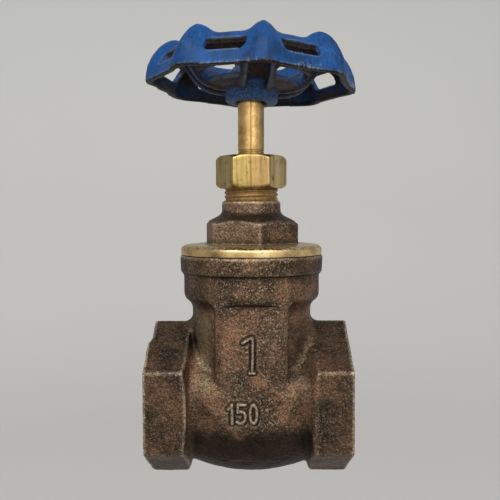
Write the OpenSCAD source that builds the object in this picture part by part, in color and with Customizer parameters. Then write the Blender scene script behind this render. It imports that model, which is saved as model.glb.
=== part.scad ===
// Screwed gate valve with a turning, non-rising stem.
// The origin is the middle of the inlet face, the waterway runs along +X, the stem stands along +Z.

/* [Body ends] */
// Distance from the inlet face to the stem axis
inlet_len = 28.8; // [24:0.2:36]
// Distance from the stem axis to the outlet face
outlet_len = 27.2; // [24:0.2:36]
// Radius at the root of the pipe thread in each end
pipe_r = 16.5; // [13.5:0.1:20]
// Depth of the pipe thread in each end
pipe_depth = 10.8; // [9:0.1:12]
// Wall between the pipe thread and the middle of a flat
end_wall = 2.65; // [2:0.05:4]
// How far each end hexagon runs on past its thread
end_spare = 0.6; // [0.4:0.1:3]
// How much shorter the end hexagons are at their corners
end_slope = 1.1; // [0.4:0.1:2]
// Radius of the fillet between each end hexagon and the belly
end_fillet_r = 1.4; // [0.6:0.1:2]
// Depth of the step at the top corner of the inlet face
corner_step = 0.9; // [0:0.1:1.5]

/* [Waterway] */
// Radius of the waterway through the two seats
port_r = 12.2; // [10:0.1:14.8]
// Wall round the waterway between the end hexagons and the waist
throat_wall = 3.4; // [2:0.1:4]
// Half of the gap between the seats, on the waterway's axis
seat_half_gap = 6.3; // [6:0.1:7.6]
// Slope of each seat from upright, in degrees
seat_slope = 5; // [3:0.5:6]
// Width of the seat rings beyond the waterway
seat_ring_w = 2.6; // [2:0.1:3]
// Thickness of the seat rings, on the waterway's axis
seat_ring_t = 3.2; // [2.5:0.1:4]

/* [Body] */
// Wall between the chamber and the flat front and back
body_wall = 2; // [1.5:0.1:3]
// Wall between the chamber and the round of the waist
waist_wall = 1.1; // [1:0.1:2.5]
// Wall between the bonnet's thread and the neck
neck_wall = 2.1; // [1.6:0.1:3]
// Half of the width of the front and back panels
panel_half_x = 9.8; // [8:0.1:11]
// Radius of the panels' upright edges
panel_edge_r = 1.3; // [0.6:0.1:2]
// Radius of the corner between each panel and the neck
panel_top_r = 2.6; // [1:0.1:4]
// Depth of the centre of the belly's round bottom below the waterway's axis
belly_drop = 3; // [2:0.1:4]
// Height of the belly's upright sides above the waterway's axis
belly_rise = 3.4; // [1:0.1:5]
// Radius of the belly's shoulder over those sides
belly_shoulder_r = 7; // [3:0.1:9]
// Radius of the belly's bottom along the waterway
belly_curve_r = 43.6; // [40:0.5:70]
// How far the belly's round ends stand outside the panels, seen from above
belly_bulge = 4.4; // [3:0.1:6]
// How the belly's flat sides narrow downward, in degrees
belly_taper = 23; // [10:1:30]
// Height of the neck, from the waist to its top face
neck_h = 10.9; // [9:0.1:12]
// Radius of the rounding under the neck
neck_round_r = 2.2; // [1:0.1:3]
// Radius of the fillet between the waist and the top of the end hexagons
waist_fillet_r = 2.2; // [1:0.1:3]
// Height of the collar round the neck's mouth
collar_h = 5; // [4:0.1:7]
// How far the collar stands out from the neck
collar_step = 1.1; // [0.5:0.1:2]
// Radius of the arched step between the neck and the panel
arch_r = 31.7; // [28:0.1:40]

/* [Gate] */
// Width of the gate's face beyond the waterway
gate_overlap = 1.8; // [1:0.1:2.2]
// Gap between the gate and each seat when it is shut
gate_gap = 0.15; // [0.1:0.01:0.2]
// Gap between the gate's edge and the chamber
chamber_gap = 1.8; // [1:0.1:2.5]
// Height of the boss above the gate's disc
boss_h = 5.5; // [4:0.1:7]
// Wall of the boss round the stem
boss_wall = 2.27; // [1.5:0.01:2.6]
// How far past fully open the gate rises
lift_spare = 0.7; // [0.2:0.1:1.5]

/* [Bonnet] */
// Wall of the bonnet's skirt, inside the body's thread
skirt_wall = 1.35; // [1:0.05:2]
// Length of the thread that holds the bonnet
bonnet_thread_len = 7.5; // [6:0.1:9]
// Height of the bonnet's flange
flange_h = 2.9; // [2:0.1:4]
// Fall of the flange's upper side from the hexagon to the rim
flange_slope_h = 0.6; // [0.1:0.1:1]
// How far the flange stays inside the collar
flange_inset = 0.3; // [0:0.1:1]
// Width of the bonnet's hexagon across its flats
bonnet_flats = 24.3; // [22:0.1:29]
// Height of the bonnet's hexagon
bonnet_hex_h = 6; // [5:0.1:8]
// How far the bonnet's hexagon is turned, in degrees
bonnet_turn = 10; // [0:1:59]
// Height of the plain collar above the hexagon
bonnet_neck_h = 6; // [5:0.1:8]
// How far that collar stands out from the thread above it
bonnet_neck_step = 1.05; // [0.5:0.05:1.5]

/* [Packing] */
// Width of the packing ring round the stem
packing_w = 1.87; // [1.5:0.01:2.4]
// Height of the packing ring
packing_h = 6.2; // [5:0.1:7.4]
// Wall of the bonnet's tube round the packing
tube_wall = 1.7; // [1.3:0.05:2.2]
// Length of thread that shows under the packing nut
thread_show = 3.8; // [2:0.1:6]
// Length of thread inside the packing nut
nut_grip = 4.2; // [3:0.1:5]
// Wall of the packing nut at the middle of a flat
nut_wall = 1.5; // [1.2:0.05:2.5]
// Height of the packing nut
packing_nut_h = 9.2; // [7.7:0.1:11]
// Height of the gland's flange
gland_flange_h = 1.7; // [1:0.1:2]

/* [Stem] */
// Radius of the stem
stem_r = 3.73; // [3.1:0.01:4.5]
// Running gap round the stem, on the radius
stem_gap = 0.06; // [0.04:0.01:0.1]
// Height of the collar that holds the stem down
stem_collar_h = 2.2; // [1.5:0.1:3]
// Length of stem between the packing nut and the handwheel
stem_show = 14.8; // [10:0.1:20]

/* [Handwheel] */
// Radius of the handwheel at the foot of a lobe
rim_r = 30.1; // [25:0.1:36.2]
// Height of the rim's lower edge above the hub's lower face
rim_h = 4.4; // [2:0.1:6]
// Height of the lobes' crest above the hub's lower face
crest_h = 16.9; // [13:0.1:20]
// Distance from the lobes' crest out to the rim
crest_in = 8; // [6:0.1:9]
// Height of the crest between two lobes
valley_h = 14.4; // [11:0.1:15]
// Distance from the crest between two lobes in to the lobes' crest
valley_in = 1.8; // [0:0.1:3]
// Height of the web where it meets the hub
web_h = 5.2; // [4:0.1:7]
// Thickness of the handwheel's wall
wheel_wall = 2; // [1.6:0.1:2.4]
// Number of lobes round the handwheel
lobes = 8; // [6:1:9]
// Angle of the first lobe from the front, in degrees
lobe_turn = 6.5; // [0:0.5:44]
// Half of the length of the slots between the lobes
slot_half_len = 5.5; // [3:0.1:6]
// Half of the width of the slots between the lobes
slot_half_w = 2.1; // [1.5:0.1:2.5]
// Number of spokes, each under a lobe
spokes = 4; // [3, 4]
// Half of the width of the channel under each spoke
spoke_half_w = 2.9; // [2:0.1:4]
// How far each spoke stands above the web
spoke_rise = 2.2; // [1:0.1:3]
// How far each spoke's sides reach below the web
spoke_lip = 0.7; // [0.3:0.1:1]
// Angle of each hole in the web between two spokes, in degrees
web_hole_angle = 52; // [20:1:64]
// Half of the width of the holes in the web
web_hole_half_w = 1.6; // [0.8:0.1:2]
// Radius of the hub
hub_r = 7.4; // [6.2:0.1:8.8]
// Height of the hub
hub_h = 9; // [7.5:0.1:10.8]
// Lean of the handwheel towards the outlet, in degrees
wheel_lean_x = 1.7; // [0:0.1:3]
// Lean of the handwheel towards the back, in degrees
wheel_lean_y = 2.5; // [0:0.1:3]
// How far the handwheel is cast off its hole, towards the outlet
wheel_offset = 0.3; // [0:0.05:0.5]

/* [Wheel nut] */
// Wall of the wheel nut at the middle of a flat
wheel_nut_wall = 1.6; // [1.2:0.1:2.5]
// Height of the wheel nut
wheel_nut_h = 4; // [3:0.1:5]
// Thickness of the washer
washer_h = 1; // [0.6:0.1:1.6]

/* [Hidden] */
$fn = 96;
// Corner radius of a hexagon for each unit of its flat radius
across = 2 / sqrt(3);
// Chamfer of turned edges, gap between threads and play between loose pieces
edge = 0.3;
thread_gap = 0.05;
play = 0.1;
// How far a cut runs past the face that it opens
past = 1;
// Room under the shut gate, and over the raised one
bottom_room = 1.2;
top_room = 0.4;
// Room round the raised gate's boss inside the bonnet
boss_side_room = 3;
// Height of the packing chamber's floor above the bonnet's hexagon
box_floor_h = 2.7;
// Rise and reach of the chamfer on the bonnet's hexagon, and radius of the hollow above it
shoulder_rise = 0.8;
shoulder_hollow_r = 2;
// Height that the packing nut's chamfers take
nut_chamfer_h = 1;
// Drop of the panels' lip below the neck, and height of the neck's rounded foot
lip_drop = 0.2;
neck_foot_share = 1.7;
// Height of the stem's shoulder in the hub, and length of its tip above the wheel nut
square_step = 1.6;
tip_show = 1.3;

end_hex_len = pipe_depth + end_spare;
end_flat_r = pipe_r + end_wall;
end_corner_r = end_flat_r * across;

gate_r = port_r + gate_overlap;
gate_lift = port_r + gate_r + lift_spare;
gate_top = gate_r + boss_h;
boss_r = stem_r + boss_wall;
chamber_r = gate_r + chamber_gap;
chamber_half_x = seat_half_gap + seat_ring_t;
bottom_r = gate_r + bottom_room;

panel_half_y = chamber_r + body_wall;
waist_r = chamber_r + waist_wall;
bonnet_thread_r = chamber_r + skirt_wall + thread_gap;
neck_r = bonnet_thread_r + neck_wall;
collar_r = neck_r + collar_step;
body_top = gate_lift + gate_r + top_room;
neck_z = body_top - neck_h;
collar_z = body_top - collar_h;
arch_z = neck_z - lip_drop;
belly_half_x = inlet_len - end_hex_len + past;

flange_r = collar_r - flange_inset;
flange_top = body_top + flange_h;
hex_top = flange_top + bonnet_hex_h;
boss_room_top = gate_top + gate_lift + top_room + past;
tube_z = hex_top + bonnet_neck_h;
box_r = stem_r + packing_w;
box_floor_z = hex_top + box_floor_h;
nut_thread_r = box_r + tube_wall;
bonnet_neck_r = nut_thread_r + bonnet_neck_step;

packing_nut_z = tube_z + thread_show;
bonnet_top = packing_nut_z + nut_grip;
gland_flange_z = bonnet_top + edge;
nut_roof_z = gland_flange_z + gland_flange_h;
packing_nut_top = packing_nut_z + packing_nut_h;
stem_collar_z = box_floor_z + play;
packing_z = stem_collar_z + stem_collar_h + play;
gland_z = packing_z + packing_h;

stem_bottom = gate_r + bottom_room;
hub_z = packing_nut_top + stem_show;
hub_top = hub_z + hub_h;
shoulder_z = hub_z + square_step;
square_w = sqrt(2) * (stem_r - 0.05);
tip_r = square_w / 2 - 0.2;
wheel_nut_flats = 2 * (tip_r + wheel_nut_wall);
wheel_nut_z = hub_top + washer_h;
stem_top = wheel_nut_z + wheel_nut_h + tip_show;

// Points of an arc round [x, z] from angle a0 to a1
function arc(x, z, r, a0, a1, n = 8) =
    [for (i = [0 : n]) let (a = a0 + (a1 - a0) * i / n) [x + r * cos(a), z + r * sin(a)]];

module at_stem() translate([inlet_len, 0, 0]) children();

module hexagon(flats, h) cylinder(r = flats / 2 * across, h = h, $fn = 6);

// Turns a shape drawn along +Z so that it runs along the waterway
module along_x() rotate([0, 90, 0]) children();

// A round bar along the waterway, from x0 to x1
module bar_x(r, x0, x1) translate([x0, 0, 0]) along_x() cylinder(r = r, h = x1 - x0);

// ---- body ----

// End hexagon whose inner face is turned to a shallow cone, side -1 for the inlet
module end_hex(len, side) intersection() {
    translate([side < 0 ? -len : len - end_hex_len, 0, 0])
        along_x() hexagon(2 * end_flat_r, end_hex_len);
    translate([side * len, 0, 0]) rotate([0, -90 * side, 0]) rotate_extrude() polygon([
        [0, 0], [end_corner_r - edge, 0], [end_corner_r + 0.2, 0.5],
        [end_corner_r + 0.2, end_hex_len - end_slope], [end_flat_r, end_hex_len], [0, end_hex_len]
    ]);
}

// Throat behind each end hexagon, with a hollow fillet up to the hexagon
module throat(len, side) {
    throat_r = port_r + throat_wall;
    fillet = end_flat_r - edge - throat_r;
    face = len - end_hex_len;
    translate([side * face, 0, 0]) rotate([0, -90 * side, 0]) rotate_extrude() polygon(concat(
        [[0, -past], [throat_r + fillet, -past]],
        arc(throat_r + fillet, fillet, fillet, 270, 180),
        [[throat_r, face], [0, face]]
    ));
}

// Radius of the belly's round bottom, at a distance from the stem axis
function belly_r(x) = panel_half_y - belly_curve_r + sqrt(pow(belly_curve_r, 2) - x * x);

// The belly: a barrel for its bottom, and flat sides that run down into it
module belly() {
    translate([0, 0, -belly_drop]) along_x() rotate_extrude() polygon(concat(
        [[0, -belly_half_x]],
        [for (i = [-12 : 12]) let (x = belly_half_x * i / 12) [belly_r(x), x]],
        [[0, belly_half_x]]
    ));
    intersection() {
        rotate([90, 0, 90]) translate([0, 0, -belly_half_x]) linear_extrude(2 * belly_half_x) belly_end();
        union() {
            translate([0, 0, belly_rise]) cylinder(r = panel_half_y + belly_bulge, h = panel_half_y);
            translate([0, 0, belly_rise - panel_half_y]) cylinder(r1 = panel_half_y + belly_bulge
                - panel_half_y * tan(belly_taper), r2 = panel_half_y + belly_bulge, h = panel_half_y);
        }
    }
}

// Outline of the belly's flat sides, seen from the end
module belly_end() {
    shoulder_y = panel_half_y - belly_shoulder_r;
    translate([0, -belly_drop]) circle(r = panel_half_y);
    translate([-panel_half_y, -belly_drop]) square([2 * panel_half_y, belly_drop + belly_rise]);
    translate([0, belly_rise]) square([2 * shoulder_y, 2 * belly_shoulder_r], center = true);
    for (side = [-1, 1]) translate([side * shoulder_y, belly_rise]) circle(r = belly_shoulder_r);
}

// Fillet ring between the belly's round bottom and an end hexagon
module belly_fillet(len, side) {
    face = len - end_hex_len;
    inner = face - end_fillet_r;
    translate([side * face, 0, -belly_drop]) rotate([0, -90 * side, 0]) rotate_extrude() polygon(concat(
        [[0, -edge], [belly_r(face) + end_fillet_r, -edge]],
        arc(belly_r(face) + end_fillet_r, end_fillet_r, end_fillet_r, 270, 190),
        [[belly_r(inner) - edge, end_fillet_r * 1.6], [0, end_fillet_r * 1.6]]
    ));
}

// Waist, neck and collar as one turned shape
module neck() rotate_extrude() polygon(concat(
    [[0, -belly_drop], [waist_r, -belly_drop]],
    [[waist_r, neck_z - neck_round_r * neck_foot_share]],
    arc(neck_r - neck_round_r, neck_z, neck_round_r, -70, 0, 6),
    [[neck_r, collar_z - edge], [neck_r - edge, collar_z - edge], [neck_r - edge, collar_z],
     [collar_r - edge, collar_z], [collar_r, body_top - edge], [collar_r - edge, body_top], [0, body_top]]
));

// Rings that fill the corner between the waist and the sloping tops of the end hexagons
module waist_fillet() {
    for (back = [0, 1]) mirror([0, back, 0]) intersection() {
        translate([0, 0, end_corner_r]) rotate([30, 0, 0]) rotate_extrude() polygon(concat(
            [[0, -2 * waist_fillet_r], [waist_r + waist_fillet_r, -2 * waist_fillet_r]],
            arc(waist_r + waist_fillet_r, waist_fillet_r, waist_fillet_r, 270, 180),
            [[0, waist_fillet_r]]
        ));
        for (side = [-1, 1], plug = [0, 1]) {
            len = side < 0 ? inlet_len : outlet_len;
            inner = plug ? waist_r - past : len - end_hex_len;
            width = plug ? waist_r / 4 : waist_r;
            translate([side < 0 ? -len : inner, -width, 0]) cube([len - inner, width, 2 * end_corner_r]);
        }
    }
}

// Front and back panels: the round of the neck, cut flat, with rounded upright edges
module panel_outline() {
    edge_x = panel_half_x - panel_edge_r;
    edge_y = sqrt(pow(neck_r - panel_edge_r, 2) - pow(edge_x, 2));
    intersection() {
        circle(r = neck_r);
        square([2 * edge_x * neck_r / (neck_r - panel_edge_r), 2 * panel_half_y], center = true);
    }
    square([2 * panel_half_x, 2 * edge_y], center = true);
    for (x = [-1, 1], y = [-1, 1]) translate([x * edge_x, y * edge_y]) circle(r = panel_edge_r);
}

module panel() translate([0, 0, belly_rise]) linear_extrude(neck_z - belly_rise + edge) panel_outline();

// Rounded corner between each side of the panels and the underside of the neck
module panel_corner() for (side = [-1, 1]) intersection() {
    linear_extrude(neck_z + edge) intersection() {
        circle(r = neck_r);
        square([4 * neck_r, 2 * panel_half_y], center = true);
    }
    rotate([90, 0, 0]) translate([side * panel_half_x, neck_z - neck_round_r / 2, -neck_r])
        linear_extrude(2 * neck_r) difference() {
            square([2 * panel_top_r, 2 * panel_top_r], center = true);
            translate([side * panel_top_r, -panel_top_r]) circle(r = panel_top_r);
            translate([-panel_top_r, -3 * panel_top_r]) square([2 * panel_top_r, 2 * panel_top_r]);
        }
}

// Lip of the neck over each panel, with an arched lower edge
module lip() intersection() {
    translate([0, 0, arch_z - panel_top_r]) cylinder(r = neck_r, h = panel_top_r + edge);
    difference() {
        translate([-panel_half_x, -neck_r, arch_z - 2]) cube([2 * panel_half_x, 2 * neck_r, 3]);
        translate([0, -neck_r - past, arch_z - arch_r]) rotate([-90, 0, 0])
            cylinder(r = arch_r, h = 2 * (neck_r + past), $fn = 180);
    }
}

module body_inside() {
    bar_x(pipe_r, -inlet_len - past, pipe_depth - inlet_len);
    bar_x(pipe_r, outlet_len - pipe_depth, outlet_len + past);
    bar_x(port_r, -inlet_len, outlet_len);
    // chamber, with the seat rings left standing in it
    difference() {
        union() {
            linear_extrude(body_top) intersection() {
                circle(r = chamber_r);
                square([2 * chamber_half_x, 4 * chamber_r], center = true);
            }
            translate([0, 0, -belly_drop / 2]) bar_x(bottom_r, -chamber_half_x, chamber_half_x);
        }
        difference() {
            bar_x(port_r + seat_ring_w, -chamber_half_x - past, chamber_half_x + past);
            wedge(seat_half_gap);
        }
    }
    translate([0, 0, body_top - bonnet_thread_len])
        cylinder(r = bonnet_thread_r, h = bonnet_thread_len + past);
}

// Space between two planes that slope like the seats, half wide on the waterway's axis
module wedge(half) {
    low = -2 * gate_r;
    high = 3 * gate_r;
    rotate([90, 0, 0]) translate([0, 0, -2 * gate_r]) linear_extrude(4 * gate_r) polygon([
        [-half - low * tan(seat_slope), low], [half + low * tan(seat_slope), low],
        [half + high * tan(seat_slope), high], [-half - high * tan(seat_slope), high]
    ]);
}

module body() color("saddlebrown") at_stem() difference() {
    union() {
        belly();
        neck();
        panel();
        panel_corner();
        lip();
        waist_fillet();
        end_hex(inlet_len, -1);
        end_hex(outlet_len, 1);
        throat(inlet_len, -1);
        throat(outlet_len, 1);
        belly_fillet(inlet_len, -1);
        belly_fillet(outlet_len, 1);
    }
    body_inside();
    // step at the top corner of the inlet face
    translate([-inlet_len - past, -end_corner_r, end_corner_r - 5])
        cube([corner_step + past, 2 * end_corner_r, 10]);
}

// ---- bonnet ----

module bonnet() color("sienna") at_stem() difference() {
    union() {
        // skirt and flange
        translate([0, 0, body_top - bonnet_thread_len + 0.5])
            cylinder(r = bonnet_thread_r - thread_gap, h = bonnet_thread_len);
        translate([0, 0, body_top]) rotate_extrude() polygon([
            [0, 0], [flange_r - edge, 0], [flange_r, edge], [flange_r, flange_h - flange_slope_h - edge],
            [flange_r - edge, flange_h - flange_slope_h], [bonnet_flats / 2 * across + edge, flange_h], [0, flange_h]
        ]);
        // hexagon, with its top turned to a shoulder
        intersection() {
            translate([0, 0, flange_top - edge]) rotate(30 + bonnet_turn)
                hexagon(bonnet_flats, bonnet_hex_h + bonnet_neck_h);
            shoulder();
        }
        translate([0, 0, hex_top]) cylinder(r = bonnet_neck_r, h = bonnet_neck_h);
        translate([0, 0, hex_top]) cylinder(r = nut_thread_r, h = bonnet_top - hex_top);
    }
    // room for the raised gate and its boss
    translate([0, 0, body_top - bonnet_thread_len]) cylinder(r = chamber_r, h = bonnet_thread_len + past);
    translate([0, 0, body_top]) cylinder(r = boss_r + boss_side_room, h = boss_room_top - body_top);
    // stem hole and packing chamber
    translate([0, 0, body_top]) cylinder(r = stem_r + stem_gap, h = bonnet_top - body_top);
    translate([0, 0, box_floor_z]) cylinder(r = box_r, h = bonnet_top - box_floor_z + past);
}

// Turned outline over the bonnet's hexagon: chamfered corners, then a hollow up to the plain collar
module shoulder() {
    flat_r = bonnet_flats / 2;
    hollow_z = hex_top + shoulder_hollow_r + 2 * shoulder_rise + 0.2;
    rotate_extrude() polygon(concat(
        [[0, flange_top - past], [flat_r * across + past, flange_top - past],
         [flat_r * across + past, hex_top - edge], [flat_r + shoulder_rise, hex_top + 0.1],
         [flat_r - 0.2, hex_top + shoulder_rise]],
        arc(bonnet_neck_r + shoulder_hollow_r, hollow_z, shoulder_hollow_r, 250, 180),
        [[0, hollow_z]]
    ));
}

// ---- inside pieces ----

module gate() color("darkgoldenrod") at_stem() difference() {
    union() {
        intersection() {
            bar_x(gate_r, -gate_r, gate_r);
            wedge(seat_half_gap - gate_gap);
        }
        translate([0, 0, gate_r / 2]) cylinder(r = boss_r, h = gate_top - gate_r / 2);
    }
    // hole that the stem runs into as the gate rises
    translate([0, 0, stem_bottom - gate_lift - 0.6]) cylinder(r = stem_r + stem_gap, h = gate_lift + gate_r);
}

module stem() color("goldenrod") at_stem() {
    groove = 0.12;
    groove_z = packing_nut_top + 1;
    rotate_extrude() polygon([
        [0, stem_bottom], [stem_r - 2 * edge, stem_bottom], [stem_r, stem_bottom + 2 * edge],
        [stem_r, stem_collar_z], [box_r - edge, stem_collar_z],
        [box_r - edge, stem_collar_z + stem_collar_h], [stem_r, stem_collar_z + stem_collar_h],
        [stem_r, groove_z], [stem_r - groove, groove_z + groove], [stem_r - groove, groove_z + 4 * groove],
        [stem_r, groove_z + 5 * groove], [stem_r, shoulder_z], [0, shoulder_z]
    ]);
    translate([-square_w / 2, -square_w / 2, shoulder_z - edge])
        cube([square_w, square_w, hub_top - shoulder_z]);
    translate([0, 0, hub_top - past]) cylinder(r = tip_r, h = stem_top - hub_top + past);
}

module packing() color("dimgray") at_stem() translate([0, 0, packing_z]) difference() {
    cylinder(r = box_r - 0.02, h = packing_h);
    translate([0, 0, -past]) cylinder(r = stem_r + stem_gap, h = packing_h + 2 * past);
}

module gland() color("goldenrod") at_stem() difference() {
    union() {
        translate([0, 0, gland_z]) cylinder(r = box_r - play, h = nut_roof_z - gland_z);
        translate([0, 0, gland_flange_z]) cylinder(r = nut_thread_r - edge, h = gland_flange_h);
    }
    translate([0, 0, gland_z - past]) cylinder(r = stem_r + stem_gap, h = nut_roof_z - gland_z + 2 * past);
}

module packing_nut() color("gold") at_stem() difference() {
    flat_r = nut_thread_r + nut_wall;
    out_r = flat_r * across + play;
    intersection() {
        translate([0, 0, packing_nut_z]) hexagon(2 * flat_r, packing_nut_h);
        rotate_extrude() polygon([
            [0, packing_nut_z], [flat_r + play, packing_nut_z], [out_r, packing_nut_z + nut_chamfer_h],
            [out_r, packing_nut_top - nut_chamfer_h], [flat_r + play, packing_nut_top], [0, packing_nut_top]
        ]);
    }
    translate([0, 0, packing_nut_z - past])
        cylinder(r = nut_thread_r + thread_gap, h = nut_roof_z - packing_nut_z + past);
    translate([0, 0, packing_nut_z]) cylinder(r = stem_r + stem_gap, h = packing_nut_h + past);
}

// ---- handwheel, with its heights above the hub's lower face ----

// Outer surface along a lobe and along the hollow between two lobes, each first from the hub to the crest
// and then from the crest to the rim: [share of the way out, share of the height, sharpness of the lobe]
lobe_web = [[-0.13, 0, 3], [0.08, 0, 3], [0.28, 0.06, 3], [0.48, 0.26, 3], [0.69, 0.66, 3],
    [0.86, 0.93, 3.4], [1, 1, 4]];
lobe_flank = [[0.36, 0.91, 3.6], [0.69, 0.7, 3], [0.94, 0.37, 2.4], [1, 0, 2]];
hollow_web = [[-0.13, 0], [0.09, 0], [0.31, 0.06], [0.52, 0.23], [0.69, 0.57], [0.85, 0.88], [1, 1]];
hollow_flank = [[0.27, 0.91], [0.57, 0.68], [0.84, 0.39], [1, 0]];

steps_per_lobe = 10;
line_steps = 2;
// Places of the slots and of the web's holes along the hollow line, counted in its points
slot_at = 8.3;
hole_at = 2.9;

crest_r = rim_r - crest_in;
valley_r = crest_r - valley_in;
chord_r = rim_r * cos(180 / lobes);

// Places the shares of a line between the hub, its crest and the rim
function web_points(shares, r, h) = [for (s = shares)
    [hub_r + s[0] * (r - hub_r), web_h + s[1] * (h - web_h), s[2]]];
function flank_points(shares, r, h, end_r) = [for (s = shares)
    [r + s[0] * (end_r - r), rim_h + s[1] * (h - rim_h), s[2]]];

lobe_line = concat(web_points(lobe_web, crest_r, crest_h), flank_points(lobe_flank, crest_r, crest_h, rim_r));
hollow_line = concat(web_points([for (s = hollow_web) [s[0], s[1], 0]], valley_r, valley_h),
    flank_points([for (s = hollow_flank) [s[0], s[1], 0]], valley_r, valley_h, chord_r));

// A smooth curve through the points of a list
function through(p, t) = let (
        i = min(floor(t), len(p) - 2), u = t - i,
        a = p[max(i - 1, 0)], b = p[i], c = p[i + 1], d = p[min(i + 2, len(p) - 1)]
    ) 0.5 * (2 * b + (c - a) * u + (2 * a - 5 * b + 4 * c - d) * u * u + (3 * b - a - 3 * c + d) * u * u * u);

function lobe_share(angle, sharpness) = pow((1 + cos(lobes * angle)) / 2, sharpness);

// Point of the outer surface, as radius and height, at an angle from the nearest lobe
function skin(t, angle) = let (
        l = through(lobe_line, t), h = through(hollow_line, t), w = lobe_share(angle, l[2])
    ) [h[0] + (l[0] - h[0]) * w, h[1] + (l[1] - h[1]) * w];

// Closed outline of the wall at an angle: the outer surface, and back along the inner one
function section(angle) = let (
        last = len(lobe_line) - 1, n = last * line_steps,
        top = [for (i = [0 : n]) skin(i / line_steps, angle)],
        inner = [for (i = [n : -1 : 0]) let (
                d = top[min(i + 1, n)] - top[max(i - 1, 0)], s = wheel_wall / norm(d)
            ) [top[i][0] + (i == n ? -wheel_wall : d[1] * s), i == n ? top[i][1] : top[i][1] - d[0] * s]]
    ) concat(top, inner);

module wheel_shell() {
    turns = lobes * steps_per_lobe;
    rings = [for (i = [0 : turns - 1]) section(i * 360 / turns)];
    n = len(rings[0]);
    points = [for (i = [0 : turns - 1], p = rings[i]) let (a = i * 360 / turns)
        [p[0] * cos(a), p[0] * sin(a), p[1]]];
    faces = [for (i = [0 : turns - 1], k = [0 : n - 1]) let (j = (i + 1) % turns, m = (k + 1) % n)
        each [[i * n + k, j * n + m, i * n + m], [i * n + k, j * n + k, j * n + m]]];
    polyhedron(points = points, faces = faces);
}

// Point beside the hollow line, a distance outside it
function beside(t, distance) = let (d = through(hollow_line, t + 0.1) - through(hollow_line, max(t - 0.1, 0)))
    [hollow_at(t)[0] - distance * d[1] / norm(d), hollow_at(t)[1] + distance * d[0] / norm(d)];
function hollow_at(t) = let (p = through(hollow_line, t)) [p[0], p[1]];

// A slot with round corners through the flank of the hollow, at a place t along its line
module rim_slot(t) {
    corner_r = 1.2;
    d = hollow_at(t + 0.1) - hollow_at(t - 0.1);
    translate([hollow_at(t)[0], 0, hollow_at(t)[1]]) rotate([0, -atan2(d[1], d[0]), 0]) hull()
        for (x = [-1, 1], y = [-1, 1])
            translate([x * (slot_half_w - corner_r), y * (slot_half_len - corner_r), -2 * wheel_wall])
                cylinder(r = corner_r, h = 3 * wheel_wall, $fn = 16);
}

// A long hole through the rise of the web, between two spokes
module web_hole(t) {
    d = hollow_at(t + 0.1) - hollow_at(t - 0.1);
    rotate(-web_hole_angle / 2) rotate_extrude(angle = web_hole_angle, $fn = 64)
        translate(hollow_at(t)) rotate(atan2(d[1], d[0]))
        translate([-web_hole_half_w, -2 * wheel_wall]) square([2 * web_hole_half_w, 3 * wheel_wall]);
}

// Side of a spoke between two distances from the hollow line, drawn as wide as asked
module spoke_bar(low, high, half_w) {
    rotate([90, 0, 0]) linear_extrude(2 * half_w, center = true) polygon(concat(
        [for (t = [0 : 0.5 : 5]) beside(t, high)],
        [for (t = [5 : -0.5 : 0]) beside(t, low)]
    ));
}

module wheel_casting() difference() {
    union() {
        rotate(270 + lobe_turn) wheel_shell();
        cylinder(r1 = hub_r - 2 * edge, r2 = hub_r, h = 2 * edge, $fn = 48);
        translate([0, 0, 2 * edge]) cylinder(r = hub_r, h = hub_h - edge, $fn = 48);
        for (i = [0 : spokes - 1]) rotate(270 + lobe_turn + i * 360 / spokes)
            spoke_bar(-wheel_wall - spoke_lip, spoke_rise, spoke_half_w + 1.2);
    }
    for (i = [0 : spokes - 1]) rotate(270 + lobe_turn + i * 360 / spokes) difference() {
        spoke_bar(-2 * wheel_wall, spoke_rise - wheel_wall, spoke_half_w);
        cylinder(r = hub_r, h = 2 * hub_h, $fn = 48);
    }
    for (i = [0 : spokes - 1]) rotate(270 + lobe_turn + (i + 0.5) * 360 / spokes) web_hole(hole_at);
    for (i = [0 : lobes - 1]) rotate(270 + lobe_turn + (i + 0.5) * 360 / lobes) rim_slot(slot_at);
}

module handwheel() color("royalblue") at_stem() translate([0, 0, hub_z]) difference() {
    translate([wheel_offset, 0, hub_h / 2]) rotate([-wheel_lean_y, wheel_lean_x, 0])
        translate([0, 0, -hub_h / 2]) wheel_casting();
    // the hub is faced off under the washer, and bored for the stem and its square
    translate([0, 0, hub_h]) cylinder(r = hub_r + past, h = hub_h, $fn = 48);
    translate([0, 0, -hub_h]) cylinder(r = stem_r + 0.7, h = hub_h + shoulder_z - hub_z + play, $fn = 48);
    translate([0, 0, hub_h / 2]) cube([square_w + 2 * play, square_w + 2 * play, 2 * hub_h], center = true);
}

module washer() color("silver") at_stem() translate([0, 0, hub_top]) difference() {
    cylinder(r = wheel_nut_flats / 2 * across + 0.6, h = washer_h);
    translate([0, 0, -past]) cylinder(r = tip_r + play, h = washer_h + 2 * past);
}

module wheel_nut() color("silver") at_stem() translate([0, 0, wheel_nut_z]) difference() {
    hexagon(wheel_nut_flats, wheel_nut_h);
    translate([0, 0, -past]) cylinder(r = tip_r + thread_gap, h = wheel_nut_h + 2 * past);
}

body();
bonnet();
gate();
stem();
packing();
gland();
packing_nut();
handwheel();
washer();
wheel_nut();
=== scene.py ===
import math

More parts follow.
